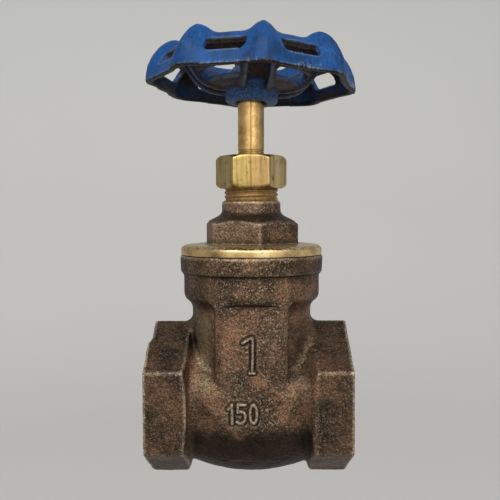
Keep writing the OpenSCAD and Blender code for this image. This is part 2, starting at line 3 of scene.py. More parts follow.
import bmesh
import bpy
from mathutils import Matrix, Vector


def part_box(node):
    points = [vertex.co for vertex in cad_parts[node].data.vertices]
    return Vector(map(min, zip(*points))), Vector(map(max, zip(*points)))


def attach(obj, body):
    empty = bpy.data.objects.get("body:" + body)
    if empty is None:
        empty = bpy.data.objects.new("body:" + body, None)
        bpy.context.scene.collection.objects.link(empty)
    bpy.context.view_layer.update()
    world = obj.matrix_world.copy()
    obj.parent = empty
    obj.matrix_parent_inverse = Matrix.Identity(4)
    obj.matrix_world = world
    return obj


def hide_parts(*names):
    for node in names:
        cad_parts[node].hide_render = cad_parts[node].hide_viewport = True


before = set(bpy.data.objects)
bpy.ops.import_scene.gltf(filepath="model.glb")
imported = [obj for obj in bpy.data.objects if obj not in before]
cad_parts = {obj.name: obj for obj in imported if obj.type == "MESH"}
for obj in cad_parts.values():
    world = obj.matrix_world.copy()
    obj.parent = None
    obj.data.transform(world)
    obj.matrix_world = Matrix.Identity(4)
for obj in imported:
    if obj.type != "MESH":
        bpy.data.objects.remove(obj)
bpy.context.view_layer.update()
mm = 0.001

# ---- Camera ----
# It stands about 0.2 m in front of the valve, level with the bonnet and tipped down a little, so that the
# handwheel is seen slightly from below and the body slightly from above.
stem_low, stem_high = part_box("stem")
axis_x = (stem_low[0] + stem_high[0]) / 2
camera_place = (axis_x + 0.13 * mm, -198.0 * mm, 53.29 * mm)
camera_turn = [math.radians(angle) for angle in (86.854, 0.183, 0.143)]
bpy.ops.object.camera_add(location=camera_place, rotation=camera_turn)
camera = bpy.context.object
camera.data.sensor_width = 36
camera.data.lens = 49.64
camera.data.clip_start = 0.01
camera.data.clip_end = 10
bpy.context.scene.camera = camera

# ---- Body casting ----
# One-piece body of a screwed bronze valve: two hexagonal ends, a round belly with flat sides, a thick neck.
# Sand-cast in red-brown bronze, so every edge and corner is a little round and the skin is grainy.
# The CAD solid is copied, turned into an even skin and smoothed, and then takes the unevenness of the mould.
body_low, body_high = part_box("body")


def copy_of(node, name):
    """A merged copy of a CAD node's mesh, as a new piece."""
    bpy.ops.object.select_all(action="DESELECT")
    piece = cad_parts[node].copy()
    piece.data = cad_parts[node].data.copy()
    piece.name = piece.data.name = name
    for key in list(piece.keys()):
        del piece[key]
    piece.parent = None
    piece.data.materials.clear()
    bpy.context.collection.objects.link(piece)
    bpy.context.view_layer.objects.active = piece
    piece.select_set(True)
    bpy.ops.object.mode_set(mode="EDIT")
    bpy.ops.mesh.select_all(action="SELECT")
    bpy.ops.mesh.remove_doubles(threshold=0.001 * mm)
    bpy.ops.mesh.customdata_custom_splitnormals_clear()
    bpy.ops.object.mode_set(mode="OBJECT")
    return piece


def finish_modifier(piece, kind, **settings):
    """Adds a modifier to the piece and applies it."""
    bpy.context.view_layer.objects.active = piece
    modifier = piece.modifiers.new(kind.lower(), kind)
    for key, value in settings.items():
        setattr(modifier, key, value)
    bpy.ops.object.modifier_apply(modifier=modifier.name)


def cast_skin(piece, mesh_size, rounding, unevenness, lump):
    """Gives a piece the even, rounded and slightly lumpy skin of a sand casting."""
    finish_modifier(piece, "REMESH", mode="VOXEL", voxel_size=mesh_size, use_smooth_shade=True)
    finish_modifier(piece, "SMOOTH", factor=0.5, iterations=rounding)
    sand = bpy.data.textures.new(piece.name + "_mould", "CLOUDS")
    sand.noise_scale = lump
    sand.noise_depth = 2
    finish_modifier(piece, "DISPLACE", texture=sand, texture_coords="LOCAL", strength=unevenness,
                    mid_level=0.5)
    piece.data.shade_smooth()


def share(past, width):
    """How far something is, from 0 to 1, across a soft edge of the given width."""
    return min(1, max(0, past / width))


def smooth_part(piece, name, passes, share_at):
    """Smooths part of a piece, where share_at gives each point's share from its out, back and up in mm."""
    part = piece.vertex_groups.new(name=name)
    for v in piece.data.vertices:
        weight = share_at(abs(v.co.x - axis_x) / mm, abs(v.co.y) / mm, v.co.z / mm)
        if weight > 0:
            part.add([v.index], weight, "REPLACE")
    finish_modifier(piece, "SMOOTH", factor=0.9, iterations=passes, vertex_group=name)


def belly_side(out, back, up):
    """The corners of the belly beside its front and back panels, next to the hexagonal ends."""
    inner_edge = 9.5 if up < 9 else 11.0
    outer_edge, middle_up, half_height, front = 17.2, 6, 12.5, 8
    across = share(out - inner_edge, 2.5) * share(outer_edge - out, 0.8)
    return across * (share(half_height - abs(up - middle_up), 5) * share(back - front, 3))


def throat(out, back, up):
    """The narrow hollows between the neck and the hexagonal ends."""
    inner_edge, outer_edge, foot, top, front = 12.5, 17.6, 10, 24.5, 5
    across = share(out - inner_edge, 2) * share(outer_edge - out, 0.6)
    return across * (share(up - foot, 3) * share(top - up, 3) * share(back - front, 3))


body_mesh_size = 0.42 * mm
body = copy_of("body", "body_casting")
finish_modifier(body, "REMESH", mode="VOXEL", voxel_size=body_mesh_size)
smooth_part(body, "belly_sides", 150, belly_side)
smooth_part(body, "throats", 120, throat)
cast_skin(body, body_mesh_size, rounding=3, unevenness=0.2 * mm, lump=3.5 * mm)
finish_modifier(body, "DECIMATE", decimate_type="COLLAPSE", ratio=0.5)


def colour(code):
    """Linear colour of an sRGB hex value."""
    parts = [int(code[i:i + 2], 16) / 255 for i in (0, 2, 4)]
    return [p / 12.92 if p <= 0.04045 else ((p + 0.055) / 1.055) ** 2.4 for p in parts] + [1]


def feed(tree, node, inputs):
    """Gives a node's inputs their values or links. A node stands for its first output in use."""
    for key, value in inputs.items():
        if isinstance(value, bpy.types.Node):
            value = next(socket for socket in value.outputs if socket.enabled)
        if isinstance(value, bpy.types.NodeSocket):
            tree.links.new(value, node.inputs[key])
        else:
            node.inputs[key].default_value = value


def add(tree, kind, inputs=None, ramp=(), **settings):
    """Adds a node with its settings, its inputs and the stops of its ramp.

    A Mix takes its share at input 0, two values at 2 and 3, and two colours at 6 and 7.
    """
    node = tree.nodes.new("ShaderNode" + kind)
    for key, value in settings.items():
        setattr(node, key, value)
    feed(tree, node, inputs or {})
    if ramp:
        stops = node.color_ramp.elements
        while len(stops) < len(ramp):
            stops.new(1)
        for stop, (place, value) in zip(stops, ramp):
            stop.position = place
            stop.color = colour(value) if isinstance(value, str) else (value, value, value, 1)
    return node


def new_material(name, metallic, roughness):
    """A material with its node tree, its shader, and the object's own coordinates in millimetres."""
    material = bpy.data.materials.new(name)
    material.use_nodes = True
    tree = material.node_tree
    shader = tree.nodes["Principled BSDF"]
    feed(tree, shader, {"Metallic": metallic, "Roughness": roughness})
    place = add(tree, "VectorMath", {0: add(tree, "TexCoord").outputs["Object"], "Scale": 1 / mm},
                operation="SCALE")
    return material, tree, shader, place


# Sand-cast leaded red brass, browned by years of air: umber over copper, with a fine bright grain where the
# skin is rubbed, paler on its edges and nearly black where the belly turns under.
cast_bronze, tree, shader, place = new_material("sand_cast_bronze", 0.72, 0.5)
patches = add(tree, "TexNoise", {"Vector": place, "Scale": 0.13, "Detail": 3.0, "Roughness": 0.6})
pebbles = add(tree, "TexNoise", {"Vector": place, "Scale": 0.5, "Detail": 3.0, "Roughness": 0.6})
copper = add(tree, "ValToRGB", {"Fac": patches}, ramp=[
    (0.30, "33271f"), (0.46, "4f3b2d"), (0.58, "70533e"), (0.72, "91694d")])
moss = add(tree, "TexNoise", {"Vector": place, "Scale": 0.21, "Detail": 2.0, "W": 4.0}, noise_dimensions="4D")
moss_mask = add(tree, "ValToRGB", {"Fac": moss}, ramp=[(0.52, 0.0), (0.7, 0.5)])
skin = add(tree, "Mix", {0: moss_mask, 6: copper, 7: colour("615438")}, data_type="RGBA")
# the sides of the belly are more olive, and carry a painted highlight that is strongest on the left side
end_from, end_to = 16.8, 18.0  # mm from the stem's axis
axes = add(tree, "SeparateXYZ", {0: place})
middle = add(tree, "Math", {0: axes.outputs["X"], 1: axis_x / mm}, operation="SUBTRACT")
middle_size = add(tree, "Math", {0: middle}, operation="ABSOLUTE")
side_range = add(tree, "MapRange", {"Value": middle_size, "From Min": 10.0, "From Max": 17.0})
side_part = add(tree, "ValToRGB", {"Fac": side_range}, ramp=[
    (0.05, 0.0), (0.3, 0.8), (0.7, 0.6), (0.97, 0.0)])
side_high = add(tree, "MapRange", {"Value": axes.outputs["Z"], "From Min": 0.0, "From Max": 12.0})
side_top = add(tree, "MapRange", {"Value": axes.outputs["Z"], "From Min": 27.0, "From Max": 24.0})
side_mask = add(tree, "Math", {0: side_part, 1: side_high}, operation="MULTIPLY")
left_light_share = add(tree, "MapRange", {"Value": middle, "From Min": -1.0, "From Max": 1.0, "To Min": 1.0,
                                  "To Max": 0.2})
side_reach = add(tree, "Math", {0: side_mask, 1: left_light_share}, operation="MULTIPLY")
side_span = add(tree, "Math", {0: side_reach, 1: side_top}, operation="MULTIPLY")
olive_and_lit_sides = add(tree, "Mix", {0: side_span, 6: skin, 7: colour("7f6f54")}, data_type="RGBA")
# painted light: the middle is painted brighter than the hexagonal ends, and the ends' upward faces carry
# painted shade
painted_end_light = add(tree, "MapRange", {"Value": middle_size, "From Min": end_from, "From Max": end_to,
                                  "To Min": 1.5, "To Max": 0.84})
skin_normal = add(tree, "SeparateXYZ", {0: add(tree, "TexCoord").outputs["Normal"]})
upward_face_shade = add(tree, "MapRange", {"Value": skin_normal.outputs["Z"], "From Min": 0.25, "From Max": 0.45,
                                   "To Min": 1.0, "To Max": 0.8})
end_reach = add(tree, "MapRange", {"Value": middle_size, "From Min": end_from, "From Max": end_to})
painted_upper_shade = add(tree, "Mix", {0: end_reach, 2: 1.0, 3: upward_face_shade})
end_shade = add(tree, "Math", {0: painted_end_light, 1: painted_upper_shade}, operation="MULTIPLY")
# the bonnet, cast apart from the body, is paler, with a painted highlight on its left and middle faces, apart
# from the hollow round its shoulder
above = add(tree, "MapRange", {"Value": axes.outputs["Z"], "From Min": body_high[2] / mm + 1.0,
                               "From Max": body_high[2] / mm + 1.5, "To Max": 0.35})
lit_left_share = add(tree, "MapRange", {"Value": middle, "From Min": 1.8, "From Max": 3.2, "To Min": 1.0,
                                 "To Max": 0.1})
paler_and_lit_part = add(tree, "Math", {0: above, 1: lit_left_share}, operation="MULTIPLY")
paler_and_lit = add(tree, "Mix", {0: paler_and_lit_part, 6: olive_and_lit_sides, 7: colour("94785c")}, data_type="RGBA")
toned = add(tree, "VectorMath", {0: paler_and_lit, "Scale": end_shade}, operation="SCALE")
# grain of the sand, 0.4 mm, drawn a little coarser than the real one so that it shows
grain = add(tree, "TexNoise", {"Vector": place, "Scale": 2.2, "Detail": 3.0, "Roughness": 0.75})
grain_shade = add(tree, "ValToRGB", {"Fac": grain}, ramp=[(0.38, 0.2), (0.5, 0.72), (0.6, 1.0)])
grained = add(tree, "Mix", {0: 1.0, 6: toned, 7: grain_shade}, data_type="RGBA", blend_type="MULTIPLY")
# bright flecks where the tops of the grains are rubbed back to metal
flecks = add(tree, "TexNoise", {"Vector": place, "Scale": 2.6, "Detail": 2.0, "W": 9.0},
             noise_dimensions="4D")
fleck_mask = add(tree, "ValToRGB", {"Fac": flecks}, ramp=[(0.53, 0.0), (0.68, 0.7)])
fleck_part = add(tree, "MapRange", {"Value": middle_size, "From Min": end_from, "From Max": end_to,
                                    "To Min": 1.0, "To Max": 0.45})
off_side = add(tree, "MapRange", {"Value": side_part, "To Min": 1.0, "To Max": 0.2})
fleck_share = add(tree, "Math", {0: fleck_part, 1: off_side}, operation="MULTIPLY")
fleck_seen = add(tree, "Math", {0: fleck_mask, 1: fleck_share}, operation="MULTIPLY")
flecked = add(tree, "Mix", {0: fleck_seen, 6: grained, 7: colour("b59d7e")}, data_type="RGBA")
# edges rubbed pale
worn = add(tree, "AmbientOcclusion", {"Distance": 0.9 * mm}, samples=8, inside=True, only_local=True)
edge_mask = add(tree, "ValToRGB", {"Fac": worn.outputs["AO"]}, ramp=[(0.72, 1.0), (0.97, 0.0)])
edge_part = add(tree, "Math", {0: edge_mask, 1: off_side}, operation="MULTIPLY")
edge_break = add(tree, "Math", {0: edge_part, 1: grain_shade}, operation="MULTIPLY")
edged = add(tree, "Mix", {0: edge_break, 6: flecked, 7: colour("d6c2a4")}, data_type="RGBA")
edge_chips = add(tree, "ValToRGB", {"Fac": flecks}, ramp=[(0.50, 0.0), (0.58, 0.9)])
chip_share = add(tree, "Math", {0: edge_part, 1: edge_chips}, operation="MULTIPLY")
chips_seen = add(tree, "Math", {0: chip_share, 1: end_reach}, operation="MULTIPLY")
chipped_edge = add(tree, "Mix", {0: chips_seen, 6: edged, 7: colour("f0e2c8")}, data_type="RGBA")
# painted shade with some dirt: hollows and creases are darkened where shade falls
hollow = add(tree, "AmbientOcclusion", {"Distance": 2.9 * mm}, samples=8)
hollow_shade_and_dirt_mask = add(tree, "ValToRGB", {"Fac": hollow.outputs["AO"]}, ramp=[(0.58, 0.95), (0.86, 0.0)])
shaded_and_dirty = add(tree, "Mix", {0: hollow_shade_and_dirt_mask, 6: chipped_edge, 7: colour("2a201b")}, data_type="RGBA")
# the dark band round the turn of the belly, with an uneven upper edge
turn = add(tree, "Math", {0: patches, 1: 6.0, 2: axes.outputs["Z"]}, operation="MULTIPLY_ADD")
band = add(tree, "MapRange", {"Value": turn, "From Min": -1.0, "From Max": -5.0, "To Max": 0.88},
           interpolation_type="SMOOTHSTEP")
belly_part = add(tree, "MapRange", {"Value": middle_size, "From Min": 17.5, "From Max": 15.5})
band_mask = add(tree, "Math", {0: band, 1: belly_part}, operation="MULTIPLY")
banded = add(tree, "Mix", {0: band_mask, 6: shaded_and_dirty, 7: colour("261b16")}, data_type="RGBA")
# a dark line along the tool-cut groove under the collar
groove_z = body_high[2] / mm - 5.05
lip_z = body_high[2] / mm - 12.6
groove_off = add(tree, "Math", {0: axes.outputs["Z"], 1: groove_z}, operation="SUBTRACT")
groove_size = add(tree, "Math", {0: groove_off}, operation="ABSOLUTE")
groove_mask = add(tree, "MapRange", {"Value": groove_size, "From Min": 0.28, "From Max": 0.12,
                                     "To Max": 0.85})
grooved = add(tree, "Mix", {0: groove_mask, 6: banded, 7: colour("16100d")}, data_type="RGBA")
# the lip over the front and back panels: a crisp dark line along its lower edge, painted shadow under the lip
# with some dirt, which droops at its ends
droop = add(tree, "Math", {0: middle, 1: 2.0}, operation="POWER")
lip_wave = add(tree, "Math", {0: pebbles, 1: 0.5, 2: axes.outputs["Z"]}, operation="MULTIPLY_ADD")
lip_off = add(tree, "Math", {0: droop, 1: 0.006, 2: lip_wave}, operation="MULTIPLY_ADD")
lip_from = add(tree, "Math", {0: lip_off, 1: lip_z + 0.25}, operation="SUBTRACT")
lip_size = add(tree, "Math", {0: lip_from}, operation="ABSOLUTE")
lip_line = add(tree, "MapRange", {"Value": lip_size, "From Min": 0.34, "From Max": 0.16, "To Max": 0.8})
lip_part = add(tree, "MapRange", {"Value": middle_size, "From Min": 7.8, "From Max": 7.0})
lip_mask = add(tree, "Math", {0: lip_line, 1: lip_part}, operation="MULTIPLY")
lipped = add(tree, "Mix", {0: lip_mask, 6: grooved, 7: colour("150f0c")}, data_type="RGBA")
# painted shade in the hollow round the bonnet's shoulder, with ragged edges
ragged = add(tree, "Math", {0: pebbles, 1: 3.0, 2: axes.outputs["Z"]}, operation="MULTIPLY_ADD")
hollow_off = add(tree, "Math", {0: ragged, 1: body_high[2] / mm + 12.2}, operation="SUBTRACT")
hollow_size = add(tree, "Math", {0: hollow_off}, operation="ABSOLUTE")
hollow_part = add(tree, "MapRange", {"Value": hollow_size, "From Min": 2.0, "From Max": 0.8, "To Max": 0.8},
                  interpolation_type="SMOOTHSTEP")
shouldered = add(tree, "Mix", {0: hollow_part, 6: lipped, 7: colour("241b15")}, data_type="RGBA")
# the corner round each raised figure, darkened with the blackest dirt and painted shade
outline = add(tree, "Attribute", attribute_name="figure_dirt_and_shade")
outlined = add(tree, "Mix", {0: outline.outputs["Fac"], 6: shouldered, 7: colour("17100c")}, data_type="RGBA")
rough = add(tree, "MapRange", {"Value": grain, "From Min": 0.3, "From Max": 0.7, "To Min": 0.62,
                               "To Max": 0.4})
pits = add(tree, "TexNoise", {"Vector": place, "Scale": 0.8, "Detail": 2.0})
pit_bump = add(tree, "Bump", {"Height": pits, "Strength": 0.9, "Distance": 0.45 * mm})
grain_bump = add(tree, "Bump", {"Height": grain, "Normal": pit_bump, "Strength": 0.7, "Distance": 0.14 * mm})
feed(tree, shader, {"Base Color": outlined, "Roughness": rough, "Normal": grain_bump})

body.data.materials.append(cast_bronze)
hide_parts("body")
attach(body, "valve_body")

# ---- Raised figures ----
# The size number and the pressure figures, cast with the body and half a millimetre proud of its front panel.
# Each is a rounded ridge along plain strokes, given as (across, height) in mm, in a shallow ditch darkened
# with dirt and painted shade.
size_figure = [
    [(-2.4, 18.7), (-1.6, 19.25), (-0.8, 19.75), (-0.1, 20.1), (0.25, 20.0), (0.25, 15.0), (0.1, 10.8)],
    [(-0.6, 10.7), (0.7, 10.7)]]
circle = [math.radians(angle) for angle in range(0, 361, 30)]
pressure_figures = [
    [(-6.2, 1.1), (-5.3, 2.2), (-5.2, -2.8)],
    [(-1.7, 2.2), (-3.7, 2.2), (-3.8, 0.2), (-2.9, 0.5), (-2.1, 0.2), (-1.65, -0.7), (-1.8, -1.9),
     (-2.5, -2.7), (-3.3, -2.75), (-4.0, -2.3)],
    [(0.42 + 0.95 * math.sin(angle), -0.3 + 2.5 * math.cos(angle)) for angle in circle]]
# the strokes of each, half their width, their height, and how dark their ditch is painted with dirt and shade
figures = ((size_figure, 0.42, 0.62, 0.75), (pressure_figures, 0.46, 0.5, 0.5))
panel_y = -14
size_left, size_right, size_foot, size_top = -4, 2.4, 9.2, 21.8
pressure_left, pressure_right, pressure_foot, pressure_top = -7.6, 3.0, -4.6, 4.2
ditch_width, ditch_depth = 0.6, 0.2


def distance_to(strokes, x, z):
    """Distance in mm from a point of the panel to the nearest stroke."""
    nearest = math.inf
    for path in strokes:
        for (x0, z0), (x1, z1) in zip(path, path[1:]):
            along_x, along_z = x1 - x0, z1 - z0
            along = share((x - x0) * along_x + (z - z0) * along_z, along_x ** 2 + along_z ** 2)
            nearest = min(nearest, math.hypot(x - x0 - along_x * along, z - z0 - along_z * along))
    return nearest


bpy.context.view_layer.objects.active = body
bpy.ops.object.mode_set(mode="EDIT")
bpy.ops.mesh.select_all(action="DESELECT")
panel = bmesh.from_edit_mesh(body.data)
for face in panel.faces:
    x, y, z = (c / mm for c in face.calc_center_median() - Vector((axis_x, 0, 0)))
    by_size = size_left < x < size_right and size_foot < z < size_top
    by_pressure = pressure_left < x < pressure_right and pressure_foot < z < pressure_top
    face.select_set(y < panel_y and (by_size or by_pressure))
bmesh.update_edit_mesh(body.data)
bpy.ops.mesh.subdivide(number_cuts=3)
bpy.ops.object.mode_set(mode="OBJECT")
figure_dirt_and_shade = body.data.attributes.new("figure_dirt_and_shade", "FLOAT", "POINT")
for v in body.data.vertices:
    x, y, z = (c / mm for c in v.co - Vector((axis_x, 0, 0)))
    if y > panel_y or not (pressure_left < x < pressure_right and pressure_foot < z < size_top):
        continue
    for strokes, half_width, height, dirt_and_shade_depth in figures:
        off = distance_to(strokes, x, z)
        ditch = off - half_width
        if ditch < 0:
            v.co.y -= height * math.sqrt(1 - (off / half_width) ** 2) * mm
        elif ditch < ditch_width:
            v.co.y += ditch_depth * math.sin(math.pi * ditch / ditch_width) * mm
        # the dirt and painted shade start low on a figure's flank and fade out past its ditch
        figure_darkening = dirt_and_shade_depth * (max(0.4, share(ditch + 0.16, 0.14)) * share(0.75 - ditch, 0.4))
        figure_dirt_and_shade.data[v.index].value = max(figure_dirt_and_shade.data[v.index].value, figure_darkening)
body.data.shade_smooth()

# ---- Pipe threads ----
# Internal 1 inch pipe thread in each end, 11.5 turns an inch, tapped into the bronze and so brighter than the
# cast skin. Each is a V-shaped ridge wound as a screw inside the plain bore of the frame.
thread_root_r = 16.5 * mm
thread_ridge = 1.35 * mm
thread_pitch = 2.209 * mm
thread_depth = 10.8 * mm
thread_sunk = 0.15 * mm
crest_half = 0.12 * mm
thread_start = 0.3 * mm

# The same bronze cut by a tap: yellower and brighter than its skin, stained brown, with fine scores.
cut_bronze, tree, shader, place = new_material("machined_bronze", 1.0, 0.38)
stain = add(tree, "TexNoise", {"Vector": place, "Scale": 0.3, "Detail": 6.0, "Roughness": 0.6})
stained = add(tree, "ValToRGB", {"Fac": stain}, ramp=[(0.35, "785d3b"), (0.5, "917147"), (0.66, "aa8855")])
scored = add(tree, "TexNoise", {"Vector": place, "Scale": 1.8, "Detail": 2.0})
scored_bump = add(tree, "Bump", {"Height": scored, "Strength": 0.3, "Distance": 0.08 * mm})
feed(tree, shader, {"Base Color": stained, "Normal": scored_bump})


def wound_ridge(name, section, turns, pitch, steps):
    """A ridge of the given section, [radius, height] from the axis, wound round Z from height 0."""
    bpy.ops.object.select_all(action="DESELECT")
    bpy.ops.mesh.primitive_circle_add(vertices=len(section), radius=1, fill_type="NOTHING")
    ridge = bpy.context.object
    ridge.name = ridge.data.name = name
    for v, (r, z) in zip(ridge.data.vertices, section):
        v.co = (r, 0, z)
    finish_modifier(ridge, "SCREW", angle=math.radians(360 * turns), screw_offset=pitch * turns,
                    steps=int(steps * turns), render_steps=int(steps * turns), axis="Z",
                    use_merge_vertices=False, use_smooth_shade=False)
    bpy.ops.object.mode_set(mode="EDIT")
    bpy.ops.mesh.select_all(action="SELECT")
    bpy.ops.mesh.remove_doubles(threshold=0.001 * mm)
    bpy.ops.mesh.select_all(action="DESELECT")
    bpy.ops.mesh.select_non_manifold(extend=False, use_wire=False, use_multi_face=False,
                                     use_non_contiguous=False, use_verts=False)
    bpy.ops.mesh.fill_holes(sides=0)
    bpy.ops.mesh.select_all(action="SELECT")
    bpy.ops.mesh.normals_make_consistent(inside=False)
    bpy.ops.object.mode_set(mode="OBJECT")
    bpy.ops.object.shade_smooth_by_angle(angle=math.radians(35))
    return ridge


for name, face_x, way in (("inlet_thread_ridge", body_low[0], 1), ("outlet_thread_ridge", body_high[0], -1)):
    half = thread_pitch * 0.47
    ridge = wound_ridge(name, [
        (thread_root_r + thread_sunk, -half), (thread_root_r + thread_sunk, half),
        (thread_root_r - thread_ridge, crest_half), (thread_root_r - thread_ridge, -crest_half)],
        turns=(thread_depth - 2 * half) / thread_pitch - 0.2, pitch=thread_pitch, steps=56)
    for v in ridge.data.vertices:
        v.co = (face_x + way * (half + thread_start + v.co.z), way * v.co.x, v.co.y)
    bpy.ops.object.mode_set(mode="EDIT")
    bpy.ops.mesh.select_all(action="SELECT")
    bpy.ops.mesh.normals_make_consistent(inside=False)
    bpy.ops.object.mode_set(mode="OBJECT")
    ridge.data.materials.append(cut_bronze)
    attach(ridge, "valve_body")

# ---- Gate ----
# The wedge that shuts the waterway, cast and then faced on both sides. It keeps the shape that the frame
# gives it, because little more than its faces shows, through the ends.
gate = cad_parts["gate"]
gate.data.materials.clear()
gate.data.materials.append(cut_bronze)

# ---- Bonnet ----
# The bonnet screws into the neck. Its hexagon and shoulder are as cast, like the body, while the flange below
# them and the threaded tube above were turned in a lathe, so that one casting has two skins.
bonnet_low, bonnet_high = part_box("bonnet")
flange_top = body_high[2] + 2.9 * mm
hexagon_top = flange_top + 6 * mm
tube_foot = hexagon_top + 6 * mm
flange_r = (bonnet_high[0] - bonnet_low[0]) / 2

bonnet = copy_of("bonnet", "bonnet_casting")
cast_skin(bonnet, mesh_size=0.33 * mm, rounding=3, unevenness=0.14 * mm, lump=3.0 * mm)
# only the hexagon and the neck are left as cast: the flange below and the tube above are turned
cast_r, cast_foot, cast_top = 14.3 * mm, flange_top - 0.35 * mm, tube_foot + 0.02 * mm
bpy.ops.object.select_all(action="DESELECT")
bpy.ops.mesh.primitive_cylinder_add(vertices=96, radius=cast_r, depth=cast_top - cast_foot,
                                    location=(axis_x, 0, (cast_foot + cast_top) / 2))
as_cast = bpy.context.object
finish_modifier(bonnet, "BOOLEAN", operation="INTERSECT", object=as_cast, solver="EXACT")
bpy.data.objects.remove(as_cast)
bpy.ops.object.select_all(action="DESELECT")
bonnet.select_set(True)
bpy.ops.object.shade_smooth_by_angle(angle=math.radians(60))
bonnet.data.materials.append(cast_bronze)
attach(bonnet, "valve_body")


def turned(name, outline, steps):
    """A closed [radius, height] outline turned round the stem's axis, as in a lathe."""
    bpy.ops.object.select_all(action="DESELECT")
    bpy.ops.mesh.primitive_circle_add(vertices=len(outline), radius=1, fill_type="NOTHING")
    piece = bpy.context.object
    piece.name = piece.data.name = name
    for v, (r, z) in zip(piece.data.vertices, outline):
        v.co = (axis_x + r, 0, z)
    bpy.ops.object.mode_set(mode="EDIT")
    bpy.ops.mesh.select_all(action="SELECT")
    bpy.ops.mesh.spin(steps=steps, angle=2 * math.pi, center=(axis_x, 0, 0), axis=(0, 0, 1))
    bpy.ops.mesh.select_all(action="SELECT")
    bpy.ops.mesh.remove_doubles(threshold=0.002 * mm)
    bpy.ops.mesh.normals_make_consistent(inside=False)
    bpy.ops.object.mode_set(mode="OBJECT")
    bpy.ops.object.shade_smooth_by_angle(angle=math.radians(28))
    return piece


def rounded(corner, before, after, size, steps=4):
    """Points of a rounded corner between two neighbours."""
    c, b, a = Vector(corner), Vector(before), Vector(after)
    start = c + (b - c).normalized() * size
    end = c + (a - c).normalized() * size
    points = []
    for i in range(steps + 1):
        t = i / steps
        points.append(tuple(start.lerp(c, t).lerp(c.lerp(end, t), t)))
    return points


# from the plug that screws into the neck, out and up over the rim, and back to the hexagon
chamber_r = 15.75 * mm
boss_room_r = 9 * mm
room_top = body_high[2] + 1 * mm
plug_r = 17.1 * mm
plug_foot = body_high[2] - 7.4 * mm
side_low = (flange_r - 0.05 * mm, body_high[2] + 0.02 * mm)
side_top = (flange_r, flange_top - 1.0 * mm)
top_corner = (flange_r - 1.0 * mm, flange_top - 0.15 * mm)
slope_top = (14 * mm, flange_top + 0.3 * mm)
flange = turned("bonnet_flange", [
    (chamber_r, plug_foot), (plug_r, plug_foot), (plug_r, body_high[2]),
    *rounded(side_low, (plug_r, body_high[2]), side_top, 0.25 * mm),
    *rounded(side_top, side_low, top_corner, 0.45 * mm), *rounded(top_corner, side_top, slope_top, 0.6 * mm),
    slope_top, (boss_room_r, slope_top[1]), (boss_room_r, room_top), (chamber_r, room_top)], steps=160)

# Turned brass-coloured bronze: fine tool rings, dull olive stains and small scratches.
turned_bronze, tree, shader, place = new_material("lathe_turned_bronze", 1.0, 0.3)
blot = add(tree, "TexNoise", {"Vector": place, "Scale": 0.16, "Detail": 5.0, "Roughness": 0.62})
blotted = add(tree, "ValToRGB", {"Fac": blot}, ramp=[(0.32, "a48a5e"), (0.5, "e4c288"), (0.66, "f8daa2")])
# the top of the flange is painted paler than its rim: a painted highlight on the faces that look up
up = add(tree, "SeparateXYZ", {0: add(tree, "TexCoord").outputs["Normal"]})
top_highlight_mask = add(tree, "MapRange", {"Value": up.outputs["Z"], "From Min": 0.4, "From Max": 0.9, "To Max": 0.75})
top_highlighted = add(tree, "Mix", {0: top_highlight_mask, 6: blotted, 7: colour("f0dcb0")}, data_type="RGBA")
speck = add(tree, "TexNoise", {"Vector": place, "Scale": 1.3, "Detail": 3.0, "Roughness": 0.7})
speck_mask = add(tree, "ValToRGB", {"Fac": speck}, ramp=[(0.30, 0.75), (0.40, 0.0)])
specked = add(tree, "Mix", {0: speck_mask, 6: top_highlighted, 7: colour("5d4a2d")}, data_type="RGBA")
# brown dirt on the top, thickest against the hexagon and along the outer edge
flange_place = add(tree, "VectorMath", {0: place, 1: (axis_x / mm, 0, 0)}, operation="SUBTRACT")
flange_flat = add(tree, "VectorMath", {0: flange_place, 1: (1, 1, 0)}, operation="MULTIPLY")
from_axis = add(tree, "VectorMath", {0: flange_flat}, operation="LENGTH")
by_hexagon = add(tree, "MapRange", {"Value": from_axis, "From Min": 16.5, "From Max": 13.2, "To Max": 0.16})
by_rim = add(tree, "MapRange", {"Value": from_axis, "From Min": flange_r / mm - 2.2,
                                "From Max": flange_r / mm - 0.5, "To Max": 0.1})
dirt_reach = add(tree, "Math", {0: by_hexagon, 1: by_rim}, operation="ADD")
caught = add(tree, "Math", {0: speck, 1: dirt_reach}, operation="ADD")
caught_shade = add(tree, "ValToRGB", {"Fac": caught}, ramp=[(0.58, 0.0), (0.65, 0.8)])
up_part = add(tree, "MapRange", {"Value": up.outputs["Z"], "From Min": 0.3, "From Max": 0.7})
caught_mask = add(tree, "Math", {0: caught_shade, 1: up_part}, operation="MULTIPLY")
flange_dirty = add(tree, "Mix", {0: caught_mask, 6: specked, 7: colour("5a4229")}, data_type="RGBA")
rubbed = add(tree, "MapRange", {"Value": speck, "From Min": 0.3, "From Max": 0.7, "To Min": 0.42,
                                "To Max": 0.24})
# tool rings 0.4 mm apart, which follow the lathe round the axis
rings = add(tree, "TexWave", {"Vector": place, "Scale": 0.8, "Distortion": 0.6, "Detail": 1.0},
            wave_type="BANDS", bands_direction="Z")
ring_bump = add(tree, "Bump", {"Height": rings.outputs["Fac"], "Strength": 0.12, "Distance": 0.04 * mm})
dent = add(tree, "Bump", {"Height": speck, "Normal": ring_bump, "Strength": 0.25, "Distance": 0.05 * mm})
feed(tree, shader, {"Base Color": flange_dirty, "Roughness": rubbed, "Normal": dent})
flange.data.materials.append(turned_bronze)
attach(flange, "valve_body")

